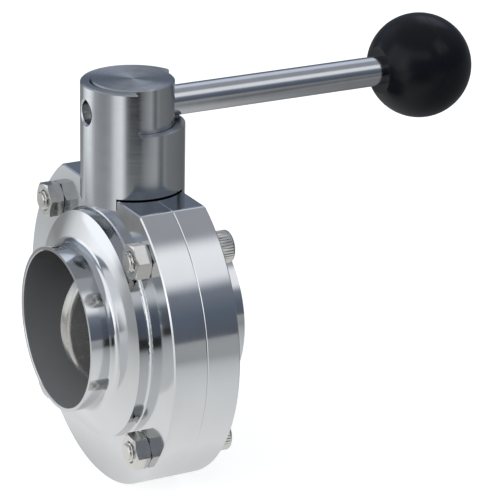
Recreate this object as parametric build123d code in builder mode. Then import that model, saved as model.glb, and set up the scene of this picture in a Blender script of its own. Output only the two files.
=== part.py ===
from build123d import *
from math import sqrt
import os

# Sanitary butterfly valve with weld ends and a spring-locked pull handle, in millimetres.
# X runs along the pipe, Z up the stem, and the origin is where the two axes cross.
# The valve is drawn open: the disc lies along the pipe and the lever points to +X.
# The knob is drawn pulled out, just clear of its lock hole.

# Pipe, flanges and hub
tube_diameter = 50.8
tube_wall = 1.2
mouth_chamfer = 0.2
end_to_end = 51.4
flange_thickness = 10.9
flange_edge = 7.5
flat_cut = 7.7
flat_corner_radius = 2.0
hub_shoulder_width = 9.6
hub_step = 3.75
hub_base_fillet = 0.8
shoulder_length = 2.95
shoulder_rise = 0.2
neck_fillet = 2.7
face_chamfer = 0.4
parting_chamfer = 0.25

# Bolts through the flanges
bolt_count = 4
bolt_first_angle = 45.0
bolt_diameter = 6.0
bolt_hole_clearance = 0.3
screw_head_diameter = 10.0
screw_head_height = 6.0
screw_head_rounding = 0.8
screw_socket_width = 5.0
screw_socket_depth = 3.2
screw_end_chamfer = 0.6
nut_width = 10.0
nut_height = 4.8
nut_bevel = 0.9
nut_turns = (52.0, 49.0, 4.5, 20.0)
nut_hub_gap = 3.0
nut_thread_clearance = 0.05
bolt_protrusion = 1.2

# Seat ring between the halves
seat_lip_rise = 0.65
seat_lip_width = 10.0
seat_base_width = 14.0
seat_base_depth = 2.3
seat_depth = 5.3
seat_clearance = 0.05
seat_stem_clearance = 0.1

# Disc and stem
disc_seat_clearance = 0.15
disc_rim_thickness = 5.4
disc_rim_rounding = 1.6
disc_belly = 1.3
disc_boss_wall = 1.2
stem_diameter = 12.0
stem_square = 9.0
stem_square_length = 15.0
stem_shoulder_rise = 1.0
stem_end_chamfer = 0.6

# Stem bushes and stem seal
bush_wall = 2.15
bush_recess = 0.6
bush_running_clearance = 0.05
bush_bore_clearance = 0.05
bush_chamfer = 0.4
stem_land = 2.0
seal_side_gap = 0.2
seal_gap = 0.1

# Lock sleeve that straddles the flanges
sleeve_diameter = 31.6
sleeve_wall = 3.05
sleeve_floor_gap = 0.4
sleeve_floor_thickness = 6.3
sleeve_slot_clearance = 0.1
sleeve_stem_clearance = 0.4
tongue_depth = 3.3
sleeve_edge = 0.4
window_floor_clearance = 0.45
window_side_clearance = 0.85
window_corner_radius = 1.5
lock_hole_clearance = 0.2
lock_hole_chamfer = 0.6
access_hole_diameter = 5.6

# Handle core on the stem
core_running_clearance = 0.2
core_proud = 0.4
core_floor_clearance = 0.3
core_edge = 0.4
core_web = 1.7
core_roof = 2.0
socket_clearance = 0.05
socket_relief = 0.5
chamber_clearance = 0.45
chamber_wall = 3.35
core_screw_diameter = 5.0
core_screw_drop = 2.5
core_screw_inset = 1.05
core_screw_chamfer = 0.6
core_screw_socket_width = 2.5
core_screw_socket_depth = 2.5

# Lever, lock pin and spring
lever_diameter = 9.3
lever_reach = 100.0
pull_travel = 3.6
lock_tip_diameter = 6.8
lock_tip_clearance = 0.07
lock_tip_inset = 0.55
lock_flange_clearance = 0.3
lock_flange_thickness = 2.0
lock_end_clearance = 0.4
lock_pin_chamfer = 0.5
lock_thread_diameter = 4.0
lock_thread_length = 6.5
thread_clearance = 0.05
spring_wire = 1.2
spring_turns = 4.5
spring_side_clearance = 0.3
spring_seat_clearance = 0.1
plug_length = 6.0
plug_clearance = 0.05
plug_inset = 0.3
plug_bore_clearance = 0.07
spanner_hole_diameter = 1.0
spanner_hole_depth = 2.0

# Ball knob
knob_diameter = 33.0
knob_rim = 1.2
knob_flat_edge = 0.6
knob_skin = 1.0
knob_thread_diameter = 8.0
knob_thread_length = 12.0
knob_thread_chamfer = 0.6
insert_wall = 2.0
insert_length = 14.0
insert_groove_width = 3.0
insert_groove_depth = 0.8

# Body places that follow from the sizes above
tube_radius = tube_diameter / 2
bore_radius = tube_radius - tube_wall
weld_face = end_to_end / 2
hub_radius = tube_radius + hub_shoulder_width
hub_face = flange_thickness + hub_step
shoulder_start = hub_face + shoulder_length
bolt_circle_radius = hub_radius + nut_hub_gap + nut_width / 2
bolt_radius = bolt_diameter / 2
nut_face = -flange_thickness - nut_height
flange_radius = bolt_circle_radius + flange_edge
flat_height = flange_radius - flat_cut
seat_bore_radius = bore_radius - seat_lip_rise
seat_outer_radius = bore_radius + seat_depth

# Stem places
disc_radius = seat_bore_radius - disc_seat_clearance
stem_radius = stem_diameter / 2
disc_boss_radius = stem_radius + disc_boss_wall
bush_bore_radius = stem_radius + bush_running_clearance
bush_radius = bush_bore_radius + bush_wall
bush_seat_radius = bush_radius + bush_bore_clearance
seal_floor = seat_outer_radius + stem_land
seal_thickness = bush_seat_radius - bush_bore_radius - seal_side_gap
bush_floor = seal_floor + seal_thickness + seal_gap
bush_length = flat_height - bush_recess - bush_floor
trunnion_end = -seal_floor - bush_length
stem_square_start = flat_height + stem_shoulder_rise
stem_top = stem_square_start + stem_square_length

# Handle places
lever_radius = lever_diameter / 2
coil_radius = lever_radius + spring_side_clearance + spring_wire / 2
chamber_radius = coil_radius + spring_wire / 2 + chamber_clearance
lever_height = stem_top + socket_relief + core_web + chamber_radius
core_top = lever_height + chamber_radius + core_roof
sleeve_top = core_top - core_proud
sleeve_radius = sleeve_diameter / 2
sleeve_bore_radius = sleeve_radius - sleeve_wall
sleeve_rest = flat_height + sleeve_floor_gap
sleeve_floor = sleeve_rest + sleeve_floor_thickness
window_floor = lever_height - lever_radius - window_floor_clearance
window_margin = lever_radius + window_side_clearance
core_radius = sleeve_bore_radius - core_running_clearance
core_bottom = sleeve_floor + core_floor_clearance
core_screw_height = stem_top - core_screw_drop
chamber_end = chamber_wall - core_radius
lock_tip_radius = lock_tip_diameter / 2
lock_hole_radius = lock_tip_radius + lock_hole_clearance
lock_tip_end = lock_tip_inset - core_radius
lock_flange_front = chamber_end + lock_end_clearance + pull_travel
lock_flange_back = lock_flange_front + lock_flange_thickness
plug_face = core_radius - plug_inset
plug_inner_face = plug_face - plug_length
knob_radius = knob_diameter / 2
knob_thread_radius = knob_thread_diameter / 2
insert_radius = knob_thread_radius + insert_wall
knob_flat_radius = insert_radius + knob_rim
knob_flat = lever_reach - sqrt(knob_radius**2 - knob_flat_radius**2)
insert_start = knob_flat + knob_skin

# How far a cutter runs past a surface, and how closely a level is matched when edges are picked
overrun = 1.0
level_tolerance = 0.01

# Planes that carry the sketches
section_plane = Plane.XZ
rear_face_plane = Plane.YZ.offset(flange_thickness)
front_face_plane = Plane.YZ.offset(-flange_thickness)


def write_part(part, name):
    part.label = name
    export_step(part, f"parts/{name}.step")


def seat_outline(grow, depth):
    # Dovetail section of the seat: a narrow lip at the bore on a wider, trapped base.
    lip = seat_lip_width / 2 + grow
    base = seat_base_width / 2 + grow
    outer = seat_outer_radius + grow
    neck = bore_radius + seat_base_depth + grow
    return [(-lip, depth), (lip, depth), (lip, bore_radius), (base, neck), (base, outer),
            (-base, outer), (-base, neck), (-lip, bore_radius)]


def lever_plane(x):
    # Plane square to the lever axis, centred on it.
    return Plane(origin=(x, 0, lever_height), x_dir=(0, 1, 0), z_dir=(1, 0, 0))


def make_body_half():
    # One flanged half with its weld end towards +X. Both halves are the same casting.
    with BuildPart() as body_half:
        with BuildSketch(section_plane) as outline:
            neck_root = (shoulder_start, tube_radius)
            hub_edge = (hub_face, hub_radius)
            hub_base = (flange_thickness, hub_radius)
            with BuildLine():
                Polyline((0, bore_radius), (weld_face, bore_radius), (weld_face, tube_radius), neck_root)
                SagittaArc(neck_root, hub_edge, -shoulder_rise)
                Polyline(hub_edge, hub_base, (flange_thickness, flange_radius), (0, flange_radius),
                         (0, bore_radius))
            make_face()
            fillet(outline.vertices().sort_by_distance(neck_root)[0], neck_fillet)
            fillet(outline.vertices().sort_by_distance(hub_base)[0], hub_base_fillet)
        revolve(axis=Axis.X)
        split(bisect_by=Plane.XY.offset(flat_height), keep=Keep.BOTTOM)
        fillet(body_half.edges().filter_by(Axis.X).group_by(Axis.Z)[-1], flat_corner_radius)
        outer_face = body_half.faces().filter_by(Axis.X).group_by(Axis.X)[1].sort_by(SortBy.AREA)[-1]
        chamfer(outer_face.outer_wire().edges(), face_chamfer)
        mouth = body_half.edges().filter_by(GeomType.CIRCLE).group_by(Axis.X)[-1].sort_by(SortBy.RADIUS)[0]
        chamfer(mouth, mouth_chamfer)
        parting_face = body_half.faces().filter_by(Axis.X).group_by(Axis.X)[0].sort_by(SortBy.AREA)[-1]
        chamfer(parting_face.outer_wire().edges(), parting_chamfer)
        with Locations(rear_face_plane):
            with PolarLocations(bolt_circle_radius, bolt_count, bolt_first_angle):
                Hole(bolt_radius + bolt_hole_clearance)
        with BuildSketch(section_plane):
            with BuildLine():
                Polyline(*seat_outline(seat_clearance, bore_radius - overrun), close=True)
            make_face()
        revolve(axis=Axis.X, mode=Mode.SUBTRACT)
        for lowest, highest, radius in (
            (0, flat_height, bush_bore_radius),
            (seal_floor, flat_height, bush_seat_radius),
            (trunnion_end - seal_gap, 0, bush_bore_radius),
            (trunnion_end - seal_gap, -seal_floor, bush_seat_radius),
        ):
            with Locations((0, 0, lowest)):
                Cylinder(radius, highest - lowest, align=(Align.CENTER, Align.CENTER, Align.MIN),
                         mode=Mode.SUBTRACT)
    return body_half.part


def make_seat_ring():
    with BuildPart() as seat_ring:
        with BuildSketch(section_plane):
            with BuildLine():
                Polyline(*seat_outline(0, seat_bore_radius), close=True)
            make_face()
        revolve(axis=Axis.X)
        Cylinder(stem_radius + seat_stem_clearance, 2 * seat_outer_radius, mode=Mode.SUBTRACT)
    return seat_ring.part


def make_disc():
    # Lens-shaped disc with a round rim and a boss along the stem, turned to a ball to clear the seat.
    with BuildPart() as disc:
        with BuildSketch(Plane.XY) as outline:
            with BuildLine():
                rim_top = (disc_radius, disc_rim_thickness / 2)
                middle_top = (0, disc_rim_thickness / 2 + disc_belly)
                middle_bottom = (0, -disc_rim_thickness / 2 - disc_belly)
                rim_bottom = (disc_radius, -disc_rim_thickness / 2)
                Line(rim_bottom, rim_top)
                TangentArc(middle_top, rim_top, tangent=(1, 0))
                Line(middle_top, middle_bottom)
                TangentArc(middle_bottom, rim_bottom, tangent=(1, 0))
            make_face()
            fillet(outline.vertices().group_by(Axis.X)[-1], disc_rim_rounding)
        revolve(axis=Axis.Y)
        Cylinder(disc_boss_radius, 2 * disc_radius)
        Sphere(disc_radius, mode=Mode.INTERSECT)
        with Locations((0, 0, trunnion_end)):
            Cylinder(stem_radius, stem_square_start - trunnion_end,
                     align=(Align.CENTER, Align.CENTER, Align.MIN))
        chamfer(disc.edges().group_by(Axis.Z)[0], stem_end_chamfer)
        with BuildSketch(Plane.XY.offset(stem_square_start)):
            Rectangle(stem_square, stem_square)
            Circle(stem_radius, mode=Mode.INTERSECT)
        extrude(amount=stem_square_length)
        chamfer(disc.faces().sort_by(Axis.Z)[-1].edges(), stem_end_chamfer)
    return disc.part


def make_bush(lowest):
    with BuildPart() as bush:
        with BuildSketch(Plane.XY.offset(lowest)):
            Circle(bush_radius)
            Circle(bush_bore_radius, mode=Mode.SUBTRACT)
        extrude(amount=bush_length)
        chamfer(bush.edges().filter_by(GeomType.CIRCLE), bush_chamfer)
    return bush.part


def make_stem_seal():
    with BuildPart() as stem_seal:
        with Locations((0, 0, seal_floor + seal_thickness / 2)):
            Torus(bush_bore_radius + seal_thickness / 2, seal_thickness / 2)
    return stem_seal.part


def make_cap_screws():
    # Four socket head screws, heads on the far flange, ends just proud of their nuts.
    with BuildPart() as cap_screws:
        with BuildSketch(rear_face_plane):
            with PolarLocations(bolt_circle_radius, bolt_count, bolt_first_angle):
                Circle(screw_head_diameter / 2)
        extrude(amount=screw_head_height)
        fillet(cap_screws.edges().group_by(Axis.X)[-1], screw_head_rounding)
        with BuildSketch(rear_face_plane.offset(screw_head_height)):
            with PolarLocations(bolt_circle_radius, bolt_count, bolt_first_angle):
                RegularPolygon(screw_socket_width / 2, 6, major_radius=False)
        extrude(amount=-screw_socket_depth, mode=Mode.SUBTRACT)
        with BuildSketch(rear_face_plane):
            with PolarLocations(bolt_circle_radius, bolt_count, bolt_first_angle):
                Circle(bolt_radius)
        extrude(amount=nut_face - bolt_protrusion - flange_thickness)
        chamfer(cap_screws.edges().group_by(Axis.X)[0], screw_end_chamfer)
    return cap_screws.part


def make_hex_nuts():
    # The bevelled discs trim the corners of the hexagons on both faces.
    with BuildPart() as bevels:
        with BuildSketch(front_face_plane):
            with PolarLocations(bolt_circle_radius, bolt_count, bolt_first_angle):
                Circle(nut_width / sqrt(3))
        extrude(amount=-nut_height)
        chamfer(bevels.edges().filter_by(GeomType.CIRCLE), nut_bevel / 2, nut_bevel)
    with BuildPart() as hex_nuts:
        # Each nut came to rest at its own turn.
        with BuildSketch(front_face_plane):
            for nut in range(bolt_count):
                turn = nut_turns[nut % len(nut_turns)]
                with PolarLocations(bolt_circle_radius, 1, bolt_first_angle + nut * 360 / bolt_count,
                                    rotate=False):
                    RegularPolygon(nut_width / 2, 6, major_radius=False, rotation=turn)
        extrude(amount=-nut_height)
        add(bevels.part, mode=Mode.INTERSECT)
        with Locations(front_face_plane):
            with PolarLocations(bolt_circle_radius, bolt_count, bolt_first_angle):
                Hole(bolt_radius + nut_thread_clearance)
        chamfer(hex_nuts.edges().filter_by(GeomType.CIRCLE).group_by(SortBy.RADIUS)[0],
                nut_bevel / 2)
    return hex_nuts.part


def make_lock_sleeve():
    # A cup over the handle core. Its two tongues hang over the flange faces and stop it turning.
    with BuildPart() as lock_sleeve:
        with BuildSketch(Plane.XY.offset(flat_height - tongue_depth)):
            Circle(sleeve_radius)
        extrude(amount=sleeve_top - flat_height + tongue_depth)
        with Locations((0, 0, sleeve_floor)):
            Cylinder(sleeve_bore_radius, sleeve_top - sleeve_floor,
                     align=(Align.CENTER, Align.CENTER, Align.MIN), mode=Mode.SUBTRACT)
        chamfer(lock_sleeve.edges().group_by(Axis.Z)[-1], sleeve_edge)
        Cylinder(stem_radius + sleeve_stem_clearance, 2 * sleeve_top, mode=Mode.SUBTRACT)
        slot_width = 2 * (flange_thickness + sleeve_slot_clearance)
        Box(slot_width, sleeve_diameter, sleeve_rest,
            align=(Align.CENTER, Align.CENTER, Align.MIN), mode=Mode.SUBTRACT)
        # The window is the quarter that the lever sweeps. Its two ends are the lever's stops.
        with BuildSketch(Plane.XY.offset(window_floor)):
            with Locations((-window_margin, window_margin)):
                Rectangle(sleeve_diameter, sleeve_diameter, align=(Align.MIN, Align.MAX))
        extrude(amount=sleeve_top - window_floor, mode=Mode.SUBTRACT)
        ledge_edges = lock_sleeve.edges().filter_by_position(
            Axis.Z, window_floor - level_tolerance, window_floor + level_tolerance)
        fillet(ledge_edges.filter_by(GeomType.LINE), window_corner_radius)
        # Lock holes for the open and the closed position, then the hole that reaches the core screw.
        for direction in ((-1, 0, 0), (0, 1, 0)):
            outside = Plane(origin=Vector(direction) * sleeve_radius + Vector(0, 0, lever_height),
                            z_dir=direction)
            with Locations(outside):
                CounterSinkHole(lock_hole_radius, lock_hole_radius + lock_hole_chamfer,
                                depth=sleeve_wall + overrun)
        with Locations(Plane(origin=(0, sleeve_radius, core_screw_height), z_dir=(0, 1, 0))):
            Hole(access_hole_diameter / 2, depth=sleeve_wall + overrun)
    return lock_sleeve.part


def make_handle_core():
    with BuildPart() as handle_core:
        with BuildSketch(Plane.XY.offset(core_bottom)):
            Circle(core_radius)
        extrude(amount=core_top - core_bottom)
        chamfer(handle_core.edges().group_by(Axis.Z)[-1], core_edge)
        with BuildSketch(Plane.XY.offset(core_bottom)):
            Rectangle(stem_square + 2 * socket_clearance, stem_square + 2 * socket_clearance)
            Circle(stem_radius + socket_clearance, mode=Mode.INTERSECT)
        extrude(amount=stem_top + socket_relief - core_bottom, mode=Mode.SUBTRACT)
        with BuildSketch(lever_plane(chamber_end)):
            Circle(chamber_radius)
        extrude(amount=core_radius - chamber_end, mode=Mode.SUBTRACT)
        with BuildSketch(lever_plane(-core_radius)):
            Circle(lock_tip_radius + lock_tip_clearance)
        extrude(amount=core_radius + chamber_end, mode=Mode.SUBTRACT)
        with Locations(Plane(origin=(0, core_radius, core_screw_height), z_dir=(0, 1, 0))):
            Hole(core_screw_diameter / 2 + thread_clearance, depth=core_radius)
    return handle_core.part


def make_core_screw():
    # Grub screw that clamps the core to a flat of the stem square.
    inner_end = stem_square / 2
    outer_end = core_radius - core_screw_inset
    with BuildPart() as core_screw:
        with BuildSketch(Plane(origin=(0, inner_end, core_screw_height), z_dir=(0, 1, 0))):
            Circle(core_screw_diameter / 2)
        extrude(amount=outer_end - inner_end)
        chamfer(core_screw.edges().group_by(Axis.Y)[0], core_screw_chamfer)
        with BuildSketch(Plane(origin=(0, outer_end, core_screw_height), z_dir=(0, 1, 0))):
            RegularPolygon(core_screw_socket_width / 2, 6, major_radius=False)
        extrude(amount=-core_screw_socket_depth, mode=Mode.SUBTRACT)
    return core_screw.part


def make_guide_plug():
    # Screwed ring that closes the spring chamber and guides the lever, flush with the core.
    with BuildPart() as guide_plug:
        with BuildSketch(lever_plane(plug_inner_face)):
            Circle(chamber_radius - plug_clearance)
            Circle(lever_radius + plug_bore_clearance, mode=Mode.SUBTRACT)
        extrude(amount=plug_length)
        with Locations((0, 0, lever_height)):
            Cylinder(plug_face, 2 * chamber_radius, mode=Mode.INTERSECT)
        with Locations(lever_plane(plug_face)):
            with PolarLocations((lever_radius + chamber_radius) / 2, 2):
                Hole(spanner_hole_diameter / 2, depth=spanner_hole_depth)
    return guide_plug.part


def make_lock_spring():
    start = lock_flange_back + spring_wire / 2 + spring_seat_clearance
    length = plug_inner_face - spring_wire / 2 - spring_seat_clearance - start
    with BuildPart() as lock_spring:
        with BuildLine():
            coil = Helix(length / spring_turns, length, coil_radius,
                         center=(start, 0, lever_height), direction=(1, 0, 0))
        with BuildSketch(Plane(origin=coil @ 0, z_dir=coil % 0)):
            Circle(spring_wire / 2)
        sweep(is_frenet=True)
    return lock_spring.part


def make_lock_pin():
    with BuildPart() as lock_pin:
        with BuildSketch(lever_plane(lock_flange_front)):
            Circle(chamber_radius - lock_flange_clearance)
        extrude(amount=lock_flange_thickness)
        with BuildSketch(lever_plane(lock_flange_front)):
            Circle(lock_tip_radius)
        extrude(amount=lock_tip_end - lock_flange_front)
        chamfer(lock_pin.edges().group_by(Axis.X)[0], lock_pin_chamfer)
        with BuildSketch(lever_plane(lock_flange_back)):
            Circle(lock_thread_diameter / 2 + thread_clearance)
        extrude(amount=-lock_thread_length, mode=Mode.SUBTRACT)
    return lock_pin.part


def make_lever_bar():
    with BuildPart() as lever_bar:
        with BuildSketch(lever_plane(lock_flange_back)):
            Circle(lever_radius)
        extrude(amount=knob_flat - lock_flange_back)
        chamfer(lever_bar.edges().group_by(Axis.X)[0], lock_pin_chamfer)
        with BuildSketch(lever_plane(lock_flange_back)):
            Circle(lock_thread_diameter / 2)
        extrude(amount=-lock_thread_length)
        with BuildSketch(lever_plane(knob_flat)):
            Circle(knob_thread_radius)
        extrude(amount=knob_thread_length)
        chamfer(lever_bar.edges().group_by(Axis.X)[-1], knob_thread_chamfer)
    return lever_bar.part


def make_ball_knob():
    with BuildPart() as ball_knob:
        with Locations((lever_reach, 0, lever_height)):
            Sphere(knob_radius)
        split(bisect_by=lever_plane(knob_flat), keep=Keep.TOP)
        fillet(ball_knob.edges().group_by(Axis.X)[0], knob_flat_edge)
        with BuildSketch(lever_plane(insert_start)):
            Circle(insert_radius)
        extrude(amount=insert_length, mode=Mode.SUBTRACT)
        with BuildSketch(lever_plane(knob_flat)):
            Circle(knob_thread_radius + thread_clearance)
        extrude(amount=knob_skin, mode=Mode.SUBTRACT)
    return ball_knob.part


def make_knob_insert():
    # Threaded bush moulded into the knob behind a thin skin. The groove round its middle keys it in.
    with BuildPart() as knob_insert:
        with BuildSketch(lever_plane(insert_start)):
            Circle(insert_radius)
        extrude(amount=insert_length)
        with BuildSketch(lever_plane(insert_start + (insert_length - insert_groove_width) / 2)):
            Circle(insert_radius)
            Circle(insert_radius - insert_groove_depth, mode=Mode.SUBTRACT)
        extrude(amount=insert_groove_width, mode=Mode.SUBTRACT)
        with BuildSketch(lever_plane(knob_flat)):
            Circle(knob_thread_radius + thread_clearance)
        extrude(amount=knob_thread_length + thread_clearance, mode=Mode.SUBTRACT)
    return knob_insert.part


os.makedirs("parts", exist_ok=True)
rear_half = make_body_half()
write_part(rear_half.rotate(Axis.Z, 180), "body_front")
write_part(rear_half, "body_rear")
write_part(make_seat_ring(), "seat_ring")
write_part(make_disc(), "disc_and_stem")
write_part(make_bush(bush_floor), "upper_bush")
write_part(make_bush(trunnion_end), "lower_bush")
write_part(make_stem_seal(), "stem_seal")
write_part(make_cap_screws(), "cap_screws")
write_part(make_hex_nuts(), "hex_nuts")
write_part(make_lock_sleeve(), "lock_sleeve")
write_part(make_handle_core(), "handle_core")
write_part(make_core_screw(), "core_screw")
write_part(make_guide_plug(), "guide_plug")
write_part(make_lock_spring(), "lock_spring")
write_part(make_lock_pin(), "lock_pin")
write_part(make_lever_bar(), "lever_bar")
write_part(make_ball_knob(), "ball_knob")
write_part(make_knob_insert(), "knob_insert")
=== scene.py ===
import bmesh
import bpy
import math
from mathutils import Matrix, Vector


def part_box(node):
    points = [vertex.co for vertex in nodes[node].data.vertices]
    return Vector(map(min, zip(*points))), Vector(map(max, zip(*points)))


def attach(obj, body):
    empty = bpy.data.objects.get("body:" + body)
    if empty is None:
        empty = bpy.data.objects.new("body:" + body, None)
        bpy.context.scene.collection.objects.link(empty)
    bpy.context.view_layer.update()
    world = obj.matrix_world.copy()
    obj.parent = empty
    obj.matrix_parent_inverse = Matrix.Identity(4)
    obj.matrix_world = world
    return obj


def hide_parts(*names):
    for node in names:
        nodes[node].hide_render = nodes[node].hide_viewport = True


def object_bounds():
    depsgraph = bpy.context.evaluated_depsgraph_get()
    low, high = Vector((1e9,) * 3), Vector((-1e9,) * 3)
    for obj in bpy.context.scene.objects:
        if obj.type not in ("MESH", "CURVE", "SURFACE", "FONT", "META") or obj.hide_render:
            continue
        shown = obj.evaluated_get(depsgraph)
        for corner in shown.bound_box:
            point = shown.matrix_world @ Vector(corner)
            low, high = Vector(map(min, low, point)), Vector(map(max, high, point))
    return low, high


# Sanitary butterfly valve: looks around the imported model, in metres.
# X runs along the pipe, Z up the stem, and the origin is where the two cross.

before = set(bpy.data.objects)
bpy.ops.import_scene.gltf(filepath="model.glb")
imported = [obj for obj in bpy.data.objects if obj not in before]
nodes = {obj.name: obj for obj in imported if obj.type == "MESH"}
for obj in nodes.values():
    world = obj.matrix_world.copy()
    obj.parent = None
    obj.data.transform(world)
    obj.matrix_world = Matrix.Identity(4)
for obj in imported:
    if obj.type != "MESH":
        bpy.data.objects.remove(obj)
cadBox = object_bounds()
millimetre = 0.001
print("frame loaded:", len(nodes), "nodes")


def hexColour(code):
    # sRGB hex to the linear values that shaders take
    parts = [int(code[i:i + 2], 16) / 255 for i in (1, 3, 5)]
    linear = [p / 12.92 if p <= 0.04045 else ((p + 0.055) / 1.055) ** 2.4 for p in parts]
    return (*linear, 1.0)


def addNode(tree, kind, settings=None, links=None):
    # One shader node. Settings are attributes or sockets, links are sockets fed by other nodes.
    node = tree.nodes.new(kind)
    for name, value in (settings or {}).items():
        if isinstance(name, str) and hasattr(node, name):
            setattr(node, name, value)
        else:
            node.inputs[name].default_value = value
    for name, source in (links or {}).items():
        tree.links.new(source, node.inputs[name])
    return node


def fillRamp(rampNode, stops):
    # Stops are (position, colour), and the ramp's two first stops are used again
    elements = rampNode.color_ramp.elements
    while len(elements) < len(stops):
        elements.new(1.0)
    for element, (position, colour) in zip(elements, stops):
        element.position = position
        element.color = colour


def newMaterial(name):
    material = bpy.data.materials.new(name)
    material.use_nodes = True
    material.node_tree.nodes.clear()
    return material, material.node_tree


def finishMaterial(tree, surface):
    addNode(tree, "ShaderNodeOutputMaterial", links={"Surface": surface})


# Camera, as the photograph was taken: a long lens, turned and tipped towards the valve
camera = {
    "aim": (40.82, 0.0, 15.00),      # mm, where the view axis meets the plane of the lever
    "azimuth": -28.57,               # degrees from the front, negative to the left
    "elevation": 20.43,              # degrees above the horizon
    "roll": 1.06,                    # degrees
    "distance": 933.1,               # mm
    "lens": 215.65,                  # mm
    "sensor": 36.0,                  # mm wide
    "clip": (0.05, 50.0),            # metres, the nearest and farthest that it sees
}


def makeCamera():
    azimuth, elevation = math.radians(camera["azimuth"]), math.radians(camera["elevation"])
    back = Vector((math.sin(azimuth) * math.cos(elevation),
                   -math.cos(azimuth) * math.cos(elevation),
                   math.sin(elevation)))
    data = bpy.data.cameras.new("camera")
    data.lens = camera["lens"]
    data.sensor_width = camera["sensor"]
    data.clip_start, data.clip_end = camera["clip"]
    eye = bpy.data.objects.new("camera", data)
    bpy.context.scene.collection.objects.link(eye)
    aim = Vector(camera["aim"]) * millimetre
    turn = back.to_track_quat("Z", "Y").to_matrix().to_4x4() @ Matrix.Rotation(
        math.radians(camera["roll"]), 4, "Z")
    eye.matrix_world = Matrix.Translation(aim + back * camera["distance"] * millimetre) @ turn
    bpy.context.scene.camera = eye


makeCamera()
print("camera placed")


# Studio: a grey room, darkest at the horizon and palest overhead, with a white window at the left,
# soft boxes round the valve and a white table. Each tone of the room is
# (elevation in degrees, colour).
studio = {
    "roomTones": [(-90, "#8a8d92"), (-2, "#8a8d92"), (0, "#636872"), (15, "#66707f"),
                  (27, "#838995"), (40, "#9a9ea5"), (60, "#abaeb4"), (90, "#b0b3b8")],
}
# Each soft box: azimuth from -Y towards +X, elevation, half width, half height and the softness
# of its edge, all in degrees, then its colour and strength
softBoxes = {
    "window": {"azimuth": -85, "elevation": 17, "width": 30, "height": 27, "soft": 6,
               "colour": "#ffffff", "strength": 1.0},
    "windowEdge": {"azimuth": -66, "elevation": 16, "width": 9, "height": 12, "soft": 5,
                   "colour": "#fffaf0", "strength": 0.5},
    "front": {"azimuth": -28, "elevation": 37, "width": 26, "height": 8, "soft": 6,
              "colour": "#ffffff", "strength": 0.7},
    "right": {"azimuth": 38, "elevation": 44.5, "width": 17, "height": 12, "soft": 5,
              "colour": "#ffffff", "strength": 0.8},
    "rightBack": {"azimuth": 133, "elevation": 43, "width": 20, "height": 14, "soft": 6,
                  "colour": "#e2ecff", "strength": 0.66},
    "leftBack": {"azimuth": -139, "elevation": 4, "width": 16, "height": 11, "soft": 6,
                 "colour": "#fbfdff", "strength": 1.3},
    "leftBackHigh": {"azimuth": -150, "elevation": 32, "width": 26, "height": 16, "soft": 10,
                     "colour": "#dfeaff", "strength": 0.28},
}


def makeWorld():
    world = bpy.data.worlds.new("studio")
    bpy.context.scene.world = world
    world.use_nodes = True
    tree = world.node_tree
    tree.nodes.clear()
    direction = addNode(tree, "ShaderNodeTexCoord").outputs["Generated"]
    split = addNode(tree, "ShaderNodeSeparateXYZ", links={"Vector": direction}).outputs
    front = addNode(tree, "ShaderNodeMath", {"operation": "MULTIPLY", 1: -1.0}, {0: split["Y"]})
    azimuth = addNode(tree, "ShaderNodeMath", {"operation": "ARCTAN2"},
                      {0: split["X"], 1: front.outputs[0]}).outputs[0]
    elevation = addNode(tree, "ShaderNodeMath", {"operation": "ARCSINE"},
                        {0: split["Z"]}).outputs[0]
    share = addNode(tree, "ShaderNodeMapRange",
                    {"From Min": -math.pi / 2, "From Max": math.pi / 2}, {"Value": elevation})
    room = addNode(tree, "ShaderNodeValToRGB", links={"Fac": share.outputs["Result"]})
    fillRamp(room, [((angle + 90) / 180, hexColour(tone)) for angle, tone in studio["roomTones"]])
    light = room.outputs["Color"]
    for box in softBoxes.values():
        light = addSoftBox(tree, azimuth, elevation, light, box)
    # The camera sees plain white behind the valve
    rays = addNode(tree, "ShaderNodeLightPath")
    shown = addNode(tree, "ShaderNodeMix", {"data_type": "RGBA", 7: (1, 1, 1, 1)},
                    {0: rays.outputs["Is Camera Ray"], 6: light})
    background = addNode(tree, "ShaderNodeBackground", links={"Color": shown.outputs[2]})
    addNode(tree, "ShaderNodeOutputWorld", links={"Surface": background.outputs[0]})


def addSoftBox(tree, azimuth, elevation, light, box):
    # A bright patch of the room, with straight sides and a soft edge
    patch = None
    for angle, middle, half in ((azimuth, box["azimuth"], box["width"]),
                                (elevation, box["elevation"], box["height"])):
        offset = addNode(tree, "ShaderNodeMath",
                         {"operation": "SUBTRACT", 1: math.radians(middle)}, {0: angle})
        turn = addNode(tree, "ShaderNodeMath", {"operation": "WRAP", 1: math.pi, 2: -math.pi},
                       {0: offset.outputs[0]})
        distance = addNode(tree, "ShaderNodeMath", {"operation": "ABSOLUTE"}, {0: turn.outputs[0]})
        edge = addNode(tree, "ShaderNodeMapRange",
                       {"interpolation_type": "SMOOTHSTEP",
                        "From Min": math.radians(half - box["soft"]),
                        "From Max": math.radians(half + box["soft"]),
                        "To Min": 1.0, "To Max": 0.0},
                       {"Value": distance.outputs[0]}).outputs["Result"]
        if patch is None:
            patch = edge
        else:
            patch = addNode(tree, "ShaderNodeMath", {"operation": "MULTIPLY"},
                            {0: patch, 1: edge}).outputs[0]
    colour = Vector(hexColour(box["colour"])[:3]) * box["strength"]
    glow = addNode(tree, "ShaderNodeVectorMath", {"operation": "SCALE", 0: colour},
                   {"Scale": patch})
    return addNode(tree, "ShaderNodeVectorMath", {"operation": "ADD"},
                   {0: light, 1: glow.outputs[0]}).outputs[0]


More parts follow.
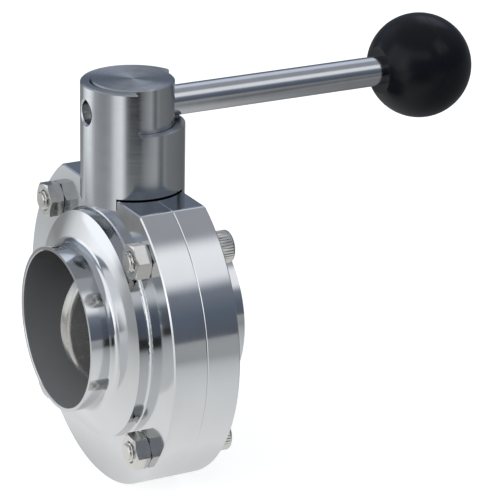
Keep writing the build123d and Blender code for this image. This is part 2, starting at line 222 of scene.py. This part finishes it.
# White table. Metal doesn't see it as the camera does: glossy rays get the tones below instead,
# bright near the valve, shaded right under it, and darker or lighter further off, by azimuth. They
# were set by comparing what each surface mirrors with the photograph, so they are this studio's
# and not a real table's. Each tone is (azimuth in degrees, how bright), at the middle and at the
# far distance.
table = {
    "paper": "#f2f2f0",
    "cameraGlow": 0.68,              # lifts the table to white for the camera
    "near": 0.97,                    # how bright metal sees it beside the valve
    "distances": (0.04, 0.24, 0.34),    # metres from the valve: near, middle and far
    "rightSqueeze": 2.0,             # times less far that the bright part reaches towards +X
    "shadeMiddle": (0.012, 0.015),   # metres, where the valve shades the table most
    "shadeReach": (0.030, 0.050),    # metres along X and Y
    "shadeEdges": (0.6, 1.2),        # share of the reach where the shade starts to lift and ends
    "shade": 0.66,                   # how much of the near light the shade leaves
    "size": 6.0,                     # metres across
    "middleTones": [(-180, 0.40), (-168, 0.55), (-158, 0.70), (-150, 0.20), (-138, 0.28),
                    (-125, 0.50), (-105, 0.42), (-85, 0.42), (-72, 0.62), (-62, 1.0),
                    (-50, 1.0), (-43, 0.75), (-36, 0.52), (-12, 0.48), (5, 0.55), (18, 0.68),
                    (26, 0.66), (34, 0.42), (45, 0.34), (110, 0.31), (130, 0.35), (150, 0.32),
                    (180, 0.40)],
    "farTones": [(-180, 0.30), (-165, 0.32), (-155, 0.90), (-138, 1.35), (-127, 1.15),
                 (-115, 0.50), (-100, 0.38), (-88, 0.36), (-76, 0.44), (-64, 0.95),
                 (-50, 1.20), (-45, 0.85), (-38, 0.20), (-30, 0.05), (-10, 0.02), (0, 0.19),
                 (12, 0.34), (25, 0.47), (33, 0.26), (39, 0.16), (46, 0.34), (55, 0.26),
                 (110, 0.18), (125, 0.16), (135, 0.30), (150, 0.10), (170, 0.20), (180, 0.30)],
    "tint": (0.98, 1.0, 1.015),      # red, green and blue of those tones
}


def addTones(tree, turn, tones):
    # A ramp round the table, from the back by way of the left and the front to the back again
    ramp = addNode(tree, "ShaderNodeValToRGB", links={"Fac": turn})
    fillRamp(ramp, [((angle + 180) / 360, (*[tone * tint for tint in table["tint"]], 1.0))
                    for angle, tone in tones])
    return ramp.outputs["Color"]


def makeTable():
    material, tree = newMaterial("pale paper, matt")
    place = addNode(tree, "ShaderNodeTexCoord").outputs["Object"]
    split = addNode(tree, "ShaderNodeSeparateXYZ", links={"Vector": place}).outputs
    right = addNode(tree, "ShaderNodeMath", {"operation": "MAXIMUM", 1: 0.0}, {0: split["X"]})
    reach = addNode(tree, "ShaderNodeMath",
                    {"operation": "MULTIPLY_ADD", 1: table["rightSqueeze"] - 1},
                    {0: right.outputs[0], 2: split["X"]})
    spot = addNode(tree, "ShaderNodeCombineXYZ", links={"X": reach.outputs[0], "Y": split["Y"]})
    distance = addNode(tree, "ShaderNodeVectorMath", {"operation": "LENGTH"}, {0: spot.outputs[0]})
    nearEdge, middleEdge, farEdge = table["distances"]
    toMiddle = addNode(tree, "ShaderNodeMapRange", {"From Min": nearEdge, "From Max": middleEdge},
                       {"Value": distance.outputs["Value"]})
    toFar = addNode(tree, "ShaderNodeMapRange", {"From Min": middleEdge, "From Max": farEdge},
                    {"Value": distance.outputs["Value"]})
    front = addNode(tree, "ShaderNodeMath", {"operation": "MULTIPLY", 1: -1.0}, {0: split["Y"]})
    azimuth = addNode(tree, "ShaderNodeMath", {"operation": "ARCTAN2"},
                      {0: split["X"], 1: front.outputs[0]})
    turn = addNode(tree, "ShaderNodeMapRange", {"From Min": -math.pi, "From Max": math.pi},
                   {"Value": azimuth.outputs[0]}).outputs["Result"]
    middle = addTones(tree, turn, table["middleTones"])
    far = addTones(tree, turn, table["farTones"])
    # The valve's own shade on the table under it
    offset = addNode(tree, "ShaderNodeVectorMath",
                     {"operation": "SUBTRACT", 1: (*table["shadeMiddle"], 0.0)}, {0: place})
    share = addNode(tree, "ShaderNodeVectorMath",
                    {"operation": "DIVIDE", 1: (*table["shadeReach"], 1.0)}, {0: offset.outputs[0]})
    depth = addNode(tree, "ShaderNodeVectorMath", {"operation": "LENGTH"}, {0: share.outputs[0]})
    deepest, lifted = table["shadeEdges"]
    shade = addNode(tree, "ShaderNodeMapRange",
                    {"From Min": deepest, "From Max": lifted,
                     "To Min": table["shade"] * table["near"], "To Max": table["near"]},
                    {"Value": depth.outputs["Value"]})
    inner = addNode(tree, "ShaderNodeMix", {"data_type": "RGBA"},
                    {0: toMiddle.outputs["Result"], 6: shade.outputs["Result"], 7: middle})
    tone = addNode(tree, "ShaderNodeMix", {"data_type": "RGBA"},
                   {0: toFar.outputs["Result"], 6: inner.outputs[2], 7: far})
    # The camera and diffuse light see paper, and glossy rays see the tones
    paper = addNode(tree, "ShaderNodeBsdfDiffuse", {"Color": hexColour(table["paper"])})
    rays = addNode(tree, "ShaderNodeLightPath")
    strength = addNode(tree, "ShaderNodeMath", {"operation": "MULTIPLY", 1: table["cameraGlow"]},
                       {0: rays.outputs["Is Camera Ray"]})
    glow = addNode(tree, "ShaderNodeEmission", links={"Strength": strength.outputs[0]})
    seen = addNode(tree, "ShaderNodeAddShader", links={0: paper.outputs[0], 1: glow.outputs[0]})
    mirrored = addNode(tree, "ShaderNodeEmission", links={"Color": tone.outputs[2]})
    surface = addNode(tree, "ShaderNodeMixShader",
                      links={0: rays.outputs["Is Glossy Ray"], 1: seen.outputs[0],
                             2: mirrored.outputs[0]})
    finishMaterial(tree, surface.outputs[0])
    half = table["size"] / 2
    corners = [(-half, -half, 0), (half, -half, 0), (half, half, 0), (-half, half, 0)]
    mesh = bpy.data.meshes.new("table")
    mesh.from_pydata(corners, [], [(0, 1, 2, 3)])
    mesh.materials.append(material)
    tableTop = bpy.data.objects.new("table", mesh)
    bpy.context.scene.collection.objects.link(tableTop)
    tableTop.location = (0, 0, cadBox[0][2])


makeWorld()
makeTable()
print("studio built")


noiseRange = (0.3, 0.7)              # what Blender's noise mostly stays between


def addGrain(tree, vector, size, stretch=(1.0, 1.0, 1.0), detail=2.0):
    # Noise with a grain of this size in mm, drawn out along an axis by its stretch
    scale = [1 / (size * millimetre * part) for part in stretch]
    scaled = addNode(tree, "ShaderNodeVectorMath", {"operation": "MULTIPLY", 1: scale}, {0: vector})
    grain = addNode(tree, "ShaderNodeTexNoise", {"Scale": 1.0, "Detail": detail},
                    {"Vector": scaled.outputs[0]})
    return grain.outputs[0]


def spread(tree, grain, low, high):
    # Lays noise over the wanted range
    laid = addNode(tree, "ShaderNodeMapRange",
                   {"From Min": noiseRange[0], "From Max": noiseRange[1],
                    "To Min": low, "To Max": high}, {"Value": grain})
    return laid.outputs["Result"]


def addRound(tree, place, axis):
    # A lathe's own coordinates: how far a point is from an axis through the origin, alone and
    # together with how far along the axis it is
    split = addNode(tree, "ShaderNodeSeparateXYZ", links={"Vector": place}).outputs
    first, second = [split[name] for name in "XYZ" if name != axis]
    flat = addNode(tree, "ShaderNodeCombineXYZ", links={"X": first, "Y": second})
    radius = addNode(tree, "ShaderNodeVectorMath", {"operation": "LENGTH"},
                     {0: flat.outputs[0]}).outputs["Value"]
    lathe = addNode(tree, "ShaderNodeCombineXYZ", links={"X": radius, "Y": split[axis]}).outputs[0]
    return radius, lathe


# Every metal below has these values: two colours that a cloudy grain mixes, the roughness with how
# much the clouds and the tool lines change it, and in mm the sizes of clouds and lines and the
# depth of the lines
def addMetal(tree, finish, place, lines):
    # The shared part of the metals: cloudy colour, uneven roughness and shallow tool lines
    clouds = addGrain(tree, place, finish["cloudSize"])
    dark, pale = finish["colours"]
    colour = addNode(tree, "ShaderNodeMix",
                     {"data_type": "RGBA", 6: hexColour(dark), 7: hexColour(pale)},
                     {0: spread(tree, clouds, 0.0, 1.0)}).outputs[2]
    cloudy = spread(tree, clouds, finish["roughness"] - finish["cloudRoughness"],
                    finish["roughness"] + finish["cloudRoughness"])
    uneven = spread(tree, lines, -finish["lineRoughness"], finish["lineRoughness"])
    roughness = addNode(tree, "ShaderNodeMath", {"operation": "ADD"},
                        {0: cloudy, 1: uneven}).outputs[0]
    height = addNode(tree, "ShaderNodeBump", {"Distance": finish["lineDepth"] * millimetre},
                     {"Height": lines})
    return colour, roughness, height.outputs["Normal"]


def addMetalShader(tree, colour, roughness, normal, settings=None):
    return addNode(tree, "ShaderNodeBsdfPrincipled", {"Metallic": 1.0, **(settings or {})},
                   {"Base Color": colour, "Roughness": roughness, "Normal": normal})


# Stainless steel, cast, turned and buffed to a mirror: sharp reflections that the buff's soft
# clouds and faint rings round the pipe unsettle a little. The real rings are under 0.1 mm apart and
# are drawn over 1 mm apart to show. The pipe's inside is only ground, so it is a dull grey. That it
# gets less metallic towards the bottom isn't the steel's own: it is painted light, which makes the
# inside paler towards the bottom, as the photograph is.
mirrorSteel = {
    "colours": ("#cfd1d3", "#d3d5d7"),
    "roughness": 0.105, "cloudRoughness": 0.02, "lineRoughness": 0.01,
    "cloudSize": 11.0, "lineSize": 1.2, "lineDepth": 0.0008, "lineDetail": 1.0,
    "boreRadius": 24.25,             # mm, the pipe's inside up to its rim
    "boreColour": "#a0a0a0", "boreRoughness": (0.36, 0.46),
    # painted light: less metal lower down makes the inside paler towards the bottom
    "boreMetalPaintedLight": (0.0, 1.0),         # how metallic it looks, at the bottom and at the top
    "boreGrain": 1.2, "boreDepth": 0.006,    # mm, size and depth of the grinding marks
}


def makeMirrorSteel():
    material, tree = newMaterial("mirror polished stainless")
    place = addNode(tree, "ShaderNodeTexCoord").outputs["Object"]
    radius, lathe = addRound(tree, place, "X")
    rings = addGrain(tree, lathe, mirrorSteel["lineSize"], detail=mirrorSteel["lineDetail"])
    colour, roughness, normal = addMetal(tree, mirrorSteel, place, rings)
    edge = mirrorSteel["boreRadius"] * millimetre
    inside = addNode(tree, "ShaderNodeMath", {"operation": "LESS_THAN", 1: edge},
                     {0: radius}).outputs[0]
    grit = addGrain(tree, place, mirrorSteel["boreGrain"])
    dull = spread(tree, grit, *mirrorSteel["boreRoughness"])
    boreHeight = addNode(tree, "ShaderNodeBump",
                         {"Distance": mirrorSteel["boreDepth"] * millimetre}, {"Height": grit})
    bothColours = addNode(tree, "ShaderNodeMix",
                          {"data_type": "RGBA", 7: hexColour(mirrorSteel["boreColour"])},
                          {0: inside, 6: colour}).outputs[2]
    bothRoughness = addNode(tree, "ShaderNodeMix",
                            links={0: inside, 2: roughness, 3: dull}).outputs[0]
    split = addNode(tree, "ShaderNodeSeparateXYZ", links={"Vector": place}).outputs
    # Painted light: the inside gets less metallic lower down, so it shows paler towards the bottom
    bottomMetal, topMetal = mirrorSteel["boreMetalPaintedLight"]
    paintedPaleBottom = addNode(tree, "ShaderNodeMapRange",
                   {"From Min": -edge, "From Max": edge, "To Min": bottomMetal, "To Max": topMetal},
                   {"Value": split["Z"]})
    metal = addNode(tree, "ShaderNodeMix", {2: 1.0}, {0: inside, 3: paintedPaleBottom.outputs["Result"]})
    bothNormals = addNode(tree, "ShaderNodeMix", {"data_type": "VECTOR"},
                          {0: inside, 4: normal, 5: boreHeight.outputs["Normal"]}).outputs[1]
    shader = addMetalShader(tree, bothColours, bothRoughness, bothNormals)
    tree.links.new(metal.outputs[0], shader.inputs["Metallic"])
    finishMaterial(tree, shader.outputs[0])
    return material


# Stainless steel turned on a lathe and brushed while it spins: the rings round the stem draw every
# highlight into a streak across them, up the sleeve and out from the middle of the core's top.
# The real feed is about 0.1 mm and is drawn near 1 mm to show.
turnedSteel = {
    "colours": ("#c2c5c9", "#c8cbce"),
    "roughness": 0.17, "cloudRoughness": 0.025, "lineRoughness": 0.03,
    "cloudSize": 9.0, "lineSize": 0.9, "lineDepth": 0.0012, "lineDetail": 3.0,
    "anisotropy": 0.72,
    "rotation": 0.25,                # of a full turn, so that the streaks run across the rings
    "faceRoughness": 0.12, "faceAnisotropy": 0.95,    # what the flat top adds, and has instead
    "faceUp": 0.9,                   # a normal that points up more than this is on the flat top
}


def makeTurnedSteel():
    material, tree = newMaterial("turned stainless")
    place = addNode(tree, "ShaderNodeTexCoord").outputs["Object"]
    radius, lathe = addRound(tree, place, "Z")
    rings = addGrain(tree, lathe, turnedSteel["lineSize"], detail=turnedSteel["lineDetail"])
    colour, roughness, normal = addMetal(tree, turnedSteel, place, rings)
    geometry = addNode(tree, "ShaderNodeNewGeometry").outputs["Normal"]
    up = addNode(tree, "ShaderNodeSeparateXYZ", links={"Vector": geometry}).outputs["Z"]
    face = addNode(tree, "ShaderNodeMath", {"operation": "GREATER_THAN", 1: turnedSteel["faceUp"]},
                   {0: up}).outputs[0]
    rough = addNode(tree, "ShaderNodeMath",
                    {"operation": "MULTIPLY_ADD", 1: turnedSteel["faceRoughness"]},
                    {0: face, 2: roughness})
    pull = addNode(tree, "ShaderNodeMapRange",
                   {"To Min": turnedSteel["anisotropy"], "To Max": turnedSteel["faceAnisotropy"]},
                   {"Value": face})
    shader = addMetalShader(tree, colour, rough.outputs[0], normal,
                            {"Anisotropic Rotation": turnedSteel["rotation"]})
    tree.links.new(pull.outputs["Result"], shader.inputs["Anisotropic"])
    tangent = addNode(tree, "ShaderNodeTangent", {"direction_type": "RADIAL", "axis": "Z"})
    tree.links.new(tangent.outputs[0], shader.inputs["Tangent"])
    finishMaterial(tree, shader.outputs[0])
    return material


# Stainless bar, cold drawn through a die and polished lengthwise: fine straight lines run along it
# and soften its bands of light. The real lines are about 0.05 mm wide and are drawn near 1 mm to
# show.
drawnSteel = {
    "colours": ("#c2c4c8", "#cacccf"),
    "roughness": 0.15, "cloudRoughness": 0.02, "lineRoughness": 0.035,
    "cloudSize": 7.0, "lineSize": 0.9, "lineDepth": 0.003,
    "lineStretch": 70.0,             # times as long as they are wide
}


def makeDrawnSteel():
    material, tree = newMaterial("drawn stainless bar")
    place = addNode(tree, "ShaderNodeTexCoord").outputs["Object"]
    lines = addGrain(tree, place, drawnSteel["lineSize"], (drawnSteel["lineStretch"], 1.0, 1.0))
    colour, roughness, normal = addMetal(tree, drawnSteel, place, lines)
    finishMaterial(tree, addMetalShader(tree, colour, roughness, normal).outputs[0])
    return material


def makeGroundMetal(name, finish):
    material, tree = newMaterial(name)
    place = addNode(tree, "ShaderNodeTexCoord").outputs["Object"]
    marks = addGrain(tree, place, finish["lineSize"])
    colour, roughness, normal = addMetal(tree, finish, place, marks)
    shader = addMetalShader(tree, colour, roughness, normal, {"Metallic": finish["metal"]})
    finishMaterial(tree, shader.outputs[0])
    return material


# Stainless casting, ground and polished by hand: a warmer, less even shine than the mirror's. The
# real grinding marks are under 0.2 mm wide and are drawn over 1 mm to show. It is only partly
# metallic, to follow the photograph, where the disc's edge is paler than plain metal would be.
discSteel = {
    "colours": ("#bdbab6", "#c8c6c2"),
    "roughness": 0.26, "cloudRoughness": 0.05, "lineRoughness": 0.02,
    "cloudSize": 5.0, "lineSize": 1.2, "lineDepth": 0.0015, "metal": 0.7,
}


def makeDiscSteel():
    return makeGroundMetal("polished stainless disc", discSteel)


# Stainless screws and nuts, cold headed and tumbled: a pale warm grey with small dents that break
# up what they mirror. The dents are drawn at 1 mm, larger than real ones, to show.
fastenerSteel = {
    "colours": ("#cecdc9", "#d5d4d0"),
    "roughness": 0.24, "cloudRoughness": 0.03, "lineRoughness": 0.02,
    "cloudSize": 3.0, "lineSize": 1.0, "lineDepth": 0.0008, "metal": 1.0,
}


def makeFastenerSteel():
    return makeGroundMetal("cold headed stainless", fastenerSteel)


# Stainless spring wire, hard drawn and left as it comes: a dull grey sheen. The die marks are drawn
# at 0.7 mm, where real ones are under 0.05 mm, to show.
springSteel = {
    "colours": ("#aeb1b6", "#bfc2c6"),
    "roughness": 0.3, "cloudRoughness": 0.05, "lineRoughness": 0.04,
    "cloudSize": 3.0, "lineSize": 0.7, "lineDepth": 0.0012, "metal": 1.0,
}


def makeSpringSteel():
    return makeGroundMetal("hard drawn spring steel", springSteel)


# Brass turned from bar: warm yellow with fine uneven tool marks, drawn at 0.8 mm, where the real
# feed is about 0.1 mm, to show
turnedBrass = {
    "colours": ("#c4a055", "#d0ad66"),
    "roughness": 0.24, "cloudRoughness": 0.03, "lineRoughness": 0.04,
    "cloudSize": 4.0, "lineSize": 0.8, "lineDepth": 0.001, "metal": 1.0,
}


def makeTurnedBrass():
    return makeGroundMetal("turned brass", turnedBrass)


# Black phenolic, compression moulded in two halves and tumble polished: a soft gloss with the
# slight waviness of the mould, and a hair of duller skin round the middle where the mould closed
phenolic = {
    "colours": ("#15161b", "#1a1a20"), "roughness": (0.20, 0.26),
    "cloudSize": 8.0, "waveSize": 6.0, "waveDepth": 0.003, "waveDetail": 0.0,
    "ior": 1.46, "specular": 0.2,    # specular under the usual 0.5, as dark as the photograph
    "seamWidth": 0.5,                # mm to each side of the middle
    "seamDulling": 0.12,             # roughness that the seam adds
}


def makePhenolic():
    material, tree = newMaterial("moulded black phenolic")
    place = addNode(tree, "ShaderNodeTexCoord").outputs["Object"]
    clouds = addGrain(tree, place, phenolic["cloudSize"])
    dark, pale = phenolic["colours"]
    colour = addNode(tree, "ShaderNodeMix",
                     {"data_type": "RGBA", 6: hexColour(dark), 7: hexColour(pale)},
                     {0: clouds}).outputs[2]
    low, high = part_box("ball_knob")
    middle = high[0] - (high[2] - low[2]) / 2    # the knob's flat side cuts its box short
    split = addNode(tree, "ShaderNodeSeparateXYZ", links={"Vector": place}).outputs
    fromSeam = addNode(tree, "ShaderNodeMath", {"operation": "SUBTRACT", 1: middle},
                       {0: split["X"]})
    gap = addNode(tree, "ShaderNodeMath", {"operation": "ABSOLUTE"}, {0: fromSeam.outputs[0]})
    seam = addNode(tree, "ShaderNodeMapRange",
                   {"From Min": 0.0, "From Max": phenolic["seamWidth"] * millimetre,
                    "To Min": phenolic["seamDulling"], "To Max": 0.0}, {"Value": gap.outputs[0]})
    cloudy = spread(tree, clouds, *phenolic["roughness"])
    roughness = addNode(tree, "ShaderNodeMath", {"operation": "ADD"},
                        {0: cloudy, 1: seam.outputs["Result"]})
    wave = addGrain(tree, place, phenolic["waveSize"], detail=phenolic["waveDetail"])
    height = addNode(tree, "ShaderNodeBump", {"Distance": phenolic["waveDepth"] * millimetre},
                     {"Height": wave})
    shader = addNode(tree, "ShaderNodeBsdfPrincipled",
                     {"IOR": phenolic["ior"], "Specular IOR Level": phenolic["specular"]},
                     {"Base Color": colour, "Roughness": roughness.outputs[0],
                      "Normal": height.outputs["Normal"]})
    finishMaterial(tree, shader.outputs[0])
    return material


# EPDM rubber, compression moulded: soft black, matt, with the mould's fine blasted grain, drawn at
# 0.6 mm to show
rubber = {
    "colours": ("#18181a", "#222224"), "roughness": (0.5, 0.66),
    "grainSize": 0.6, "grainDepth": 0.012, "ior": 1.52, "subsurface": 0.0, "subsurfaceDepth": 1.0,
}
# PTFE, turned from rod: waxy white with close tool rings, drawn at 0.7 mm to show
fluoropolymer = {
    "colours": ("#e6e5e0", "#efeeea"), "roughness": (0.34, 0.46),
    "grainSize": 0.7, "grainDepth": 0.006, "ior": 1.35, "subsurface": 0.25, "subsurfaceDepth": 1.0,
}


def makeSoftPlastic(name, finish, turned):
    material, tree = newMaterial(name)
    place = addNode(tree, "ShaderNodeTexCoord").outputs["Object"]
    if turned:
        place = addRound(tree, place, "Z")[1]
    grain = addGrain(tree, place, finish["grainSize"])
    dark, pale = finish["colours"]
    colour = addNode(tree, "ShaderNodeMix",
                     {"data_type": "RGBA", 6: hexColour(dark), 7: hexColour(pale)},
                     {0: grain}).outputs[2]
    height = addNode(tree, "ShaderNodeBump", {"Distance": finish["grainDepth"] * millimetre},
                     {"Height": grain})
    shader = addNode(tree, "ShaderNodeBsdfPrincipled",
                     {"IOR": finish["ior"], "Subsurface Weight": finish["subsurface"],
                      "Subsurface Scale": finish["subsurfaceDepth"] * millimetre},
                     {"Base Color": colour, "Roughness": spread(tree, grain, *finish["roughness"]),
                      "Normal": height.outputs["Normal"]})
    finishMaterial(tree, shader.outputs[0])
    return material


finishes = {
    "mirror": makeMirrorSteel(), "turned": makeTurnedSteel(), "drawn": makeDrawnSteel(),
    "disc": makeDiscSteel(), "fastener": makeFastenerSteel(), "spring": makeSpringSteel(),
    "phenolic": makePhenolic(), "brass": makeTurnedBrass(),
    "rubber": makeSoftPlastic("moulded EPDM rubber", rubber, turned=False),
    "fluoropolymer": makeSoftPlastic("turned PTFE", fluoropolymer, turned=True),
}
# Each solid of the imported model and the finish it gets
finishOfNode = {
    "body_front": "mirror", "body_rear": "mirror", "disc_and_stem": "disc",
    "cap_screws": "fastener", "hex_nuts": "fastener", "core_screw": "fastener",
    "lock_pin": "fastener", "lock_sleeve": "turned", "handle_core": "turned",
    "guide_plug": "turned", "lever_bar": "drawn", "lock_spring": "spring",
    "ball_knob": "phenolic", "knob_insert": "brass", "seat_ring": "rubber",
    "stem_seal": "rubber", "upper_bush": "fluoropolymer", "lower_bush": "fluoropolymer",
}
for nodeName, finishName in finishOfNode.items():
    mesh = nodes[nodeName].data
    mesh.materials.clear()
    mesh.materials.append(finishes[finishName])
print("finishes given")


# Four socket head screws with what the plain solids leave out: knurled heads and a real thread.
# Lengths are in mm, and places along a screw count from where the two body halves meet.
screws = {
    "count": 4,
    "firstTurn": 45.0,               # degrees round the pipe
    "circle": 43.0,                  # radius that the screws stand on
    "segments": 120,                 # corners round a screw, a whole number for each knurl
    "seat": 10.9, "end": -16.9,      # under the head, and the thread's tip
    "headRadius": 5.0, "headHeight": 6.0,
    "headRounding": 0.8, "roundingSteps": 4,
    "knurls": 40, "knurlDepth": 0.17, "knurlMargin": 0.35,
    "socketHalfWidth": 2.5, "socketDepth": 3.2, "socketCone": 0.7,
    "socketMouth": 3.1, "mouthDepth": 0.2,
    "socketTurn": 17.0,              # degrees from one screw's stop to the next one's
    "shankRadius": 3.0, "pitch": 1.0, "threadDepth": 0.58,
    "crestShare": 0.15, "flankShare": 0.6,    # of half a pitch, and the root has the rest
    "threadStart": -6.0, "threadSteps": 8,    # rings of corners for each turn of the thread
    "endRadius": 2.35,
    "sharpAngle": 28.0,              # degrees, and sharper edges than this stay crisp
}


def hexagonRadius(turn, halfWidth):
    side = math.pi / 3
    return halfWidth / math.cos(turn % side - side / 2)


def threadRadius(x, turn):
    # A flat crest, a straight flank down, a flat root and a flank up again, on a helix
    share = (x / screws["pitch"] + turn / (2 * math.pi)) % 1
    fromCrest = abs(share - 0.5) * 2
    depth = min(max((fromCrest - screws["crestShare"]) / screws["flankShare"], 0.0), 1.0)
    runIn = min(max((screws["threadStart"] - x) / screws["pitch"], 0.0), 1.0)
    return screws["shankRadius"] - screws["threadDepth"] * depth * runIn


def screwRings():
    # Each ring is its place along the screw and its radius at a turn, from the socket's floor over
    # the head and down to the thread's end
    top = screws["seat"] + screws["headHeight"]
    head, rounding, margin = screws["headRadius"], screws["headRounding"], screws["knurlMargin"]
    perKnurl = screws["segments"] // screws["knurls"]

    def hexagon(turn, step):
        return hexagonRadius(turn, screws["socketHalfWidth"])

    def knurl(turn, step):
        return head - (0 if step % perKnurl == 0 else screws["knurlDepth"])

    yield top - screws["socketDepth"], hexagon
    yield top - screws["mouthDepth"], hexagon
    yield top, lambda turn, step: screws["socketMouth"]
    yield top, lambda turn, step: head - rounding
    for roundingStep in range(1, screws["roundingSteps"] + 1):
        angle = roundingStep / screws["roundingSteps"] * math.pi / 2
        radius = head - rounding + rounding * math.sin(angle)
        yield top - rounding + rounding * math.cos(angle), lambda turn, step, radius=radius: radius
    yield top - rounding - margin, knurl
    yield screws["seat"] + margin, knurl
    yield screws["seat"] + margin / 2, lambda turn, step: head
    yield screws["seat"], lambda turn, step: head - margin / 2
    yield screws["seat"], lambda turn, step: screws["shankRadius"]
    steps = round((screws["threadStart"] - screws["end"]) / screws["pitch"] * screws["threadSteps"])
    for index in range(steps + 1):
        x = screws["threadStart"] + (screws["end"] - screws["threadStart"]) * index / steps
        limit = screws["endRadius"] + x - screws["end"]
        yield x, lambda turn, step, x=x, limit=limit: min(threadRadius(x, turn), limit)


def makeScrews():
    builder = bmesh.new()
    segments = screws["segments"]
    for index in range(screws["count"]):
        around = math.radians(screws["firstTurn"] + index * 360 / screws["count"])
        middle = (screws["circle"] * math.cos(around), screws["circle"] * math.sin(around))
        lean = math.radians(screws["socketTurn"] * index)
        rings = []
        for x, radiusAt in screwRings():
            ring = []
            for step in range(segments):
                turn = step * 2 * math.pi / segments
                radius = radiusAt(turn, step)
                point = Vector((x, middle[0] + radius * math.cos(turn + lean),
                                middle[1] + radius * math.sin(turn + lean)))
                ring.append(builder.verts.new(point * millimetre))
            rings.append(ring)
        for outer, inner in zip(rings, rings[1:]):
            for step in range(segments):
                after = (step + 1) % segments
                builder.faces.new((outer[step], outer[after], inner[after], inner[step]))
        # The socket ends in the drill's cone and the thread in a flat tip
        socketFloor = screws["seat"] + screws["headHeight"] - screws["socketDepth"]
        ends = ((rings[0], socketFloor - screws["socketCone"]), (rings[-1], screws["end"]))
        for ring, x in ends:
            centre = builder.verts.new(Vector((x, *middle)) * millimetre)
            for step in range(segments):
                builder.faces.new((ring[step], ring[(step + 1) % segments], centre))
    bmesh.ops.recalc_face_normals(builder, faces=builder.faces)
    mesh = bpy.data.meshes.new("capScrews")
    builder.to_mesh(mesh)
    builder.free()
    mesh.shade_smooth()
    mesh.set_sharp_from_angle(angle=math.radians(screws["sharpAngle"]))
    mesh.materials.append(finishes["fastener"])
    piece = bpy.data.objects.new("capScrews", mesh)
    bpy.context.scene.collection.objects.link(piece)
    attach(piece, "housing")
    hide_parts("cap_screws")


makeScrews()
print("screws made")

bpy.context.scene.view_settings.view_transform = "Standard"
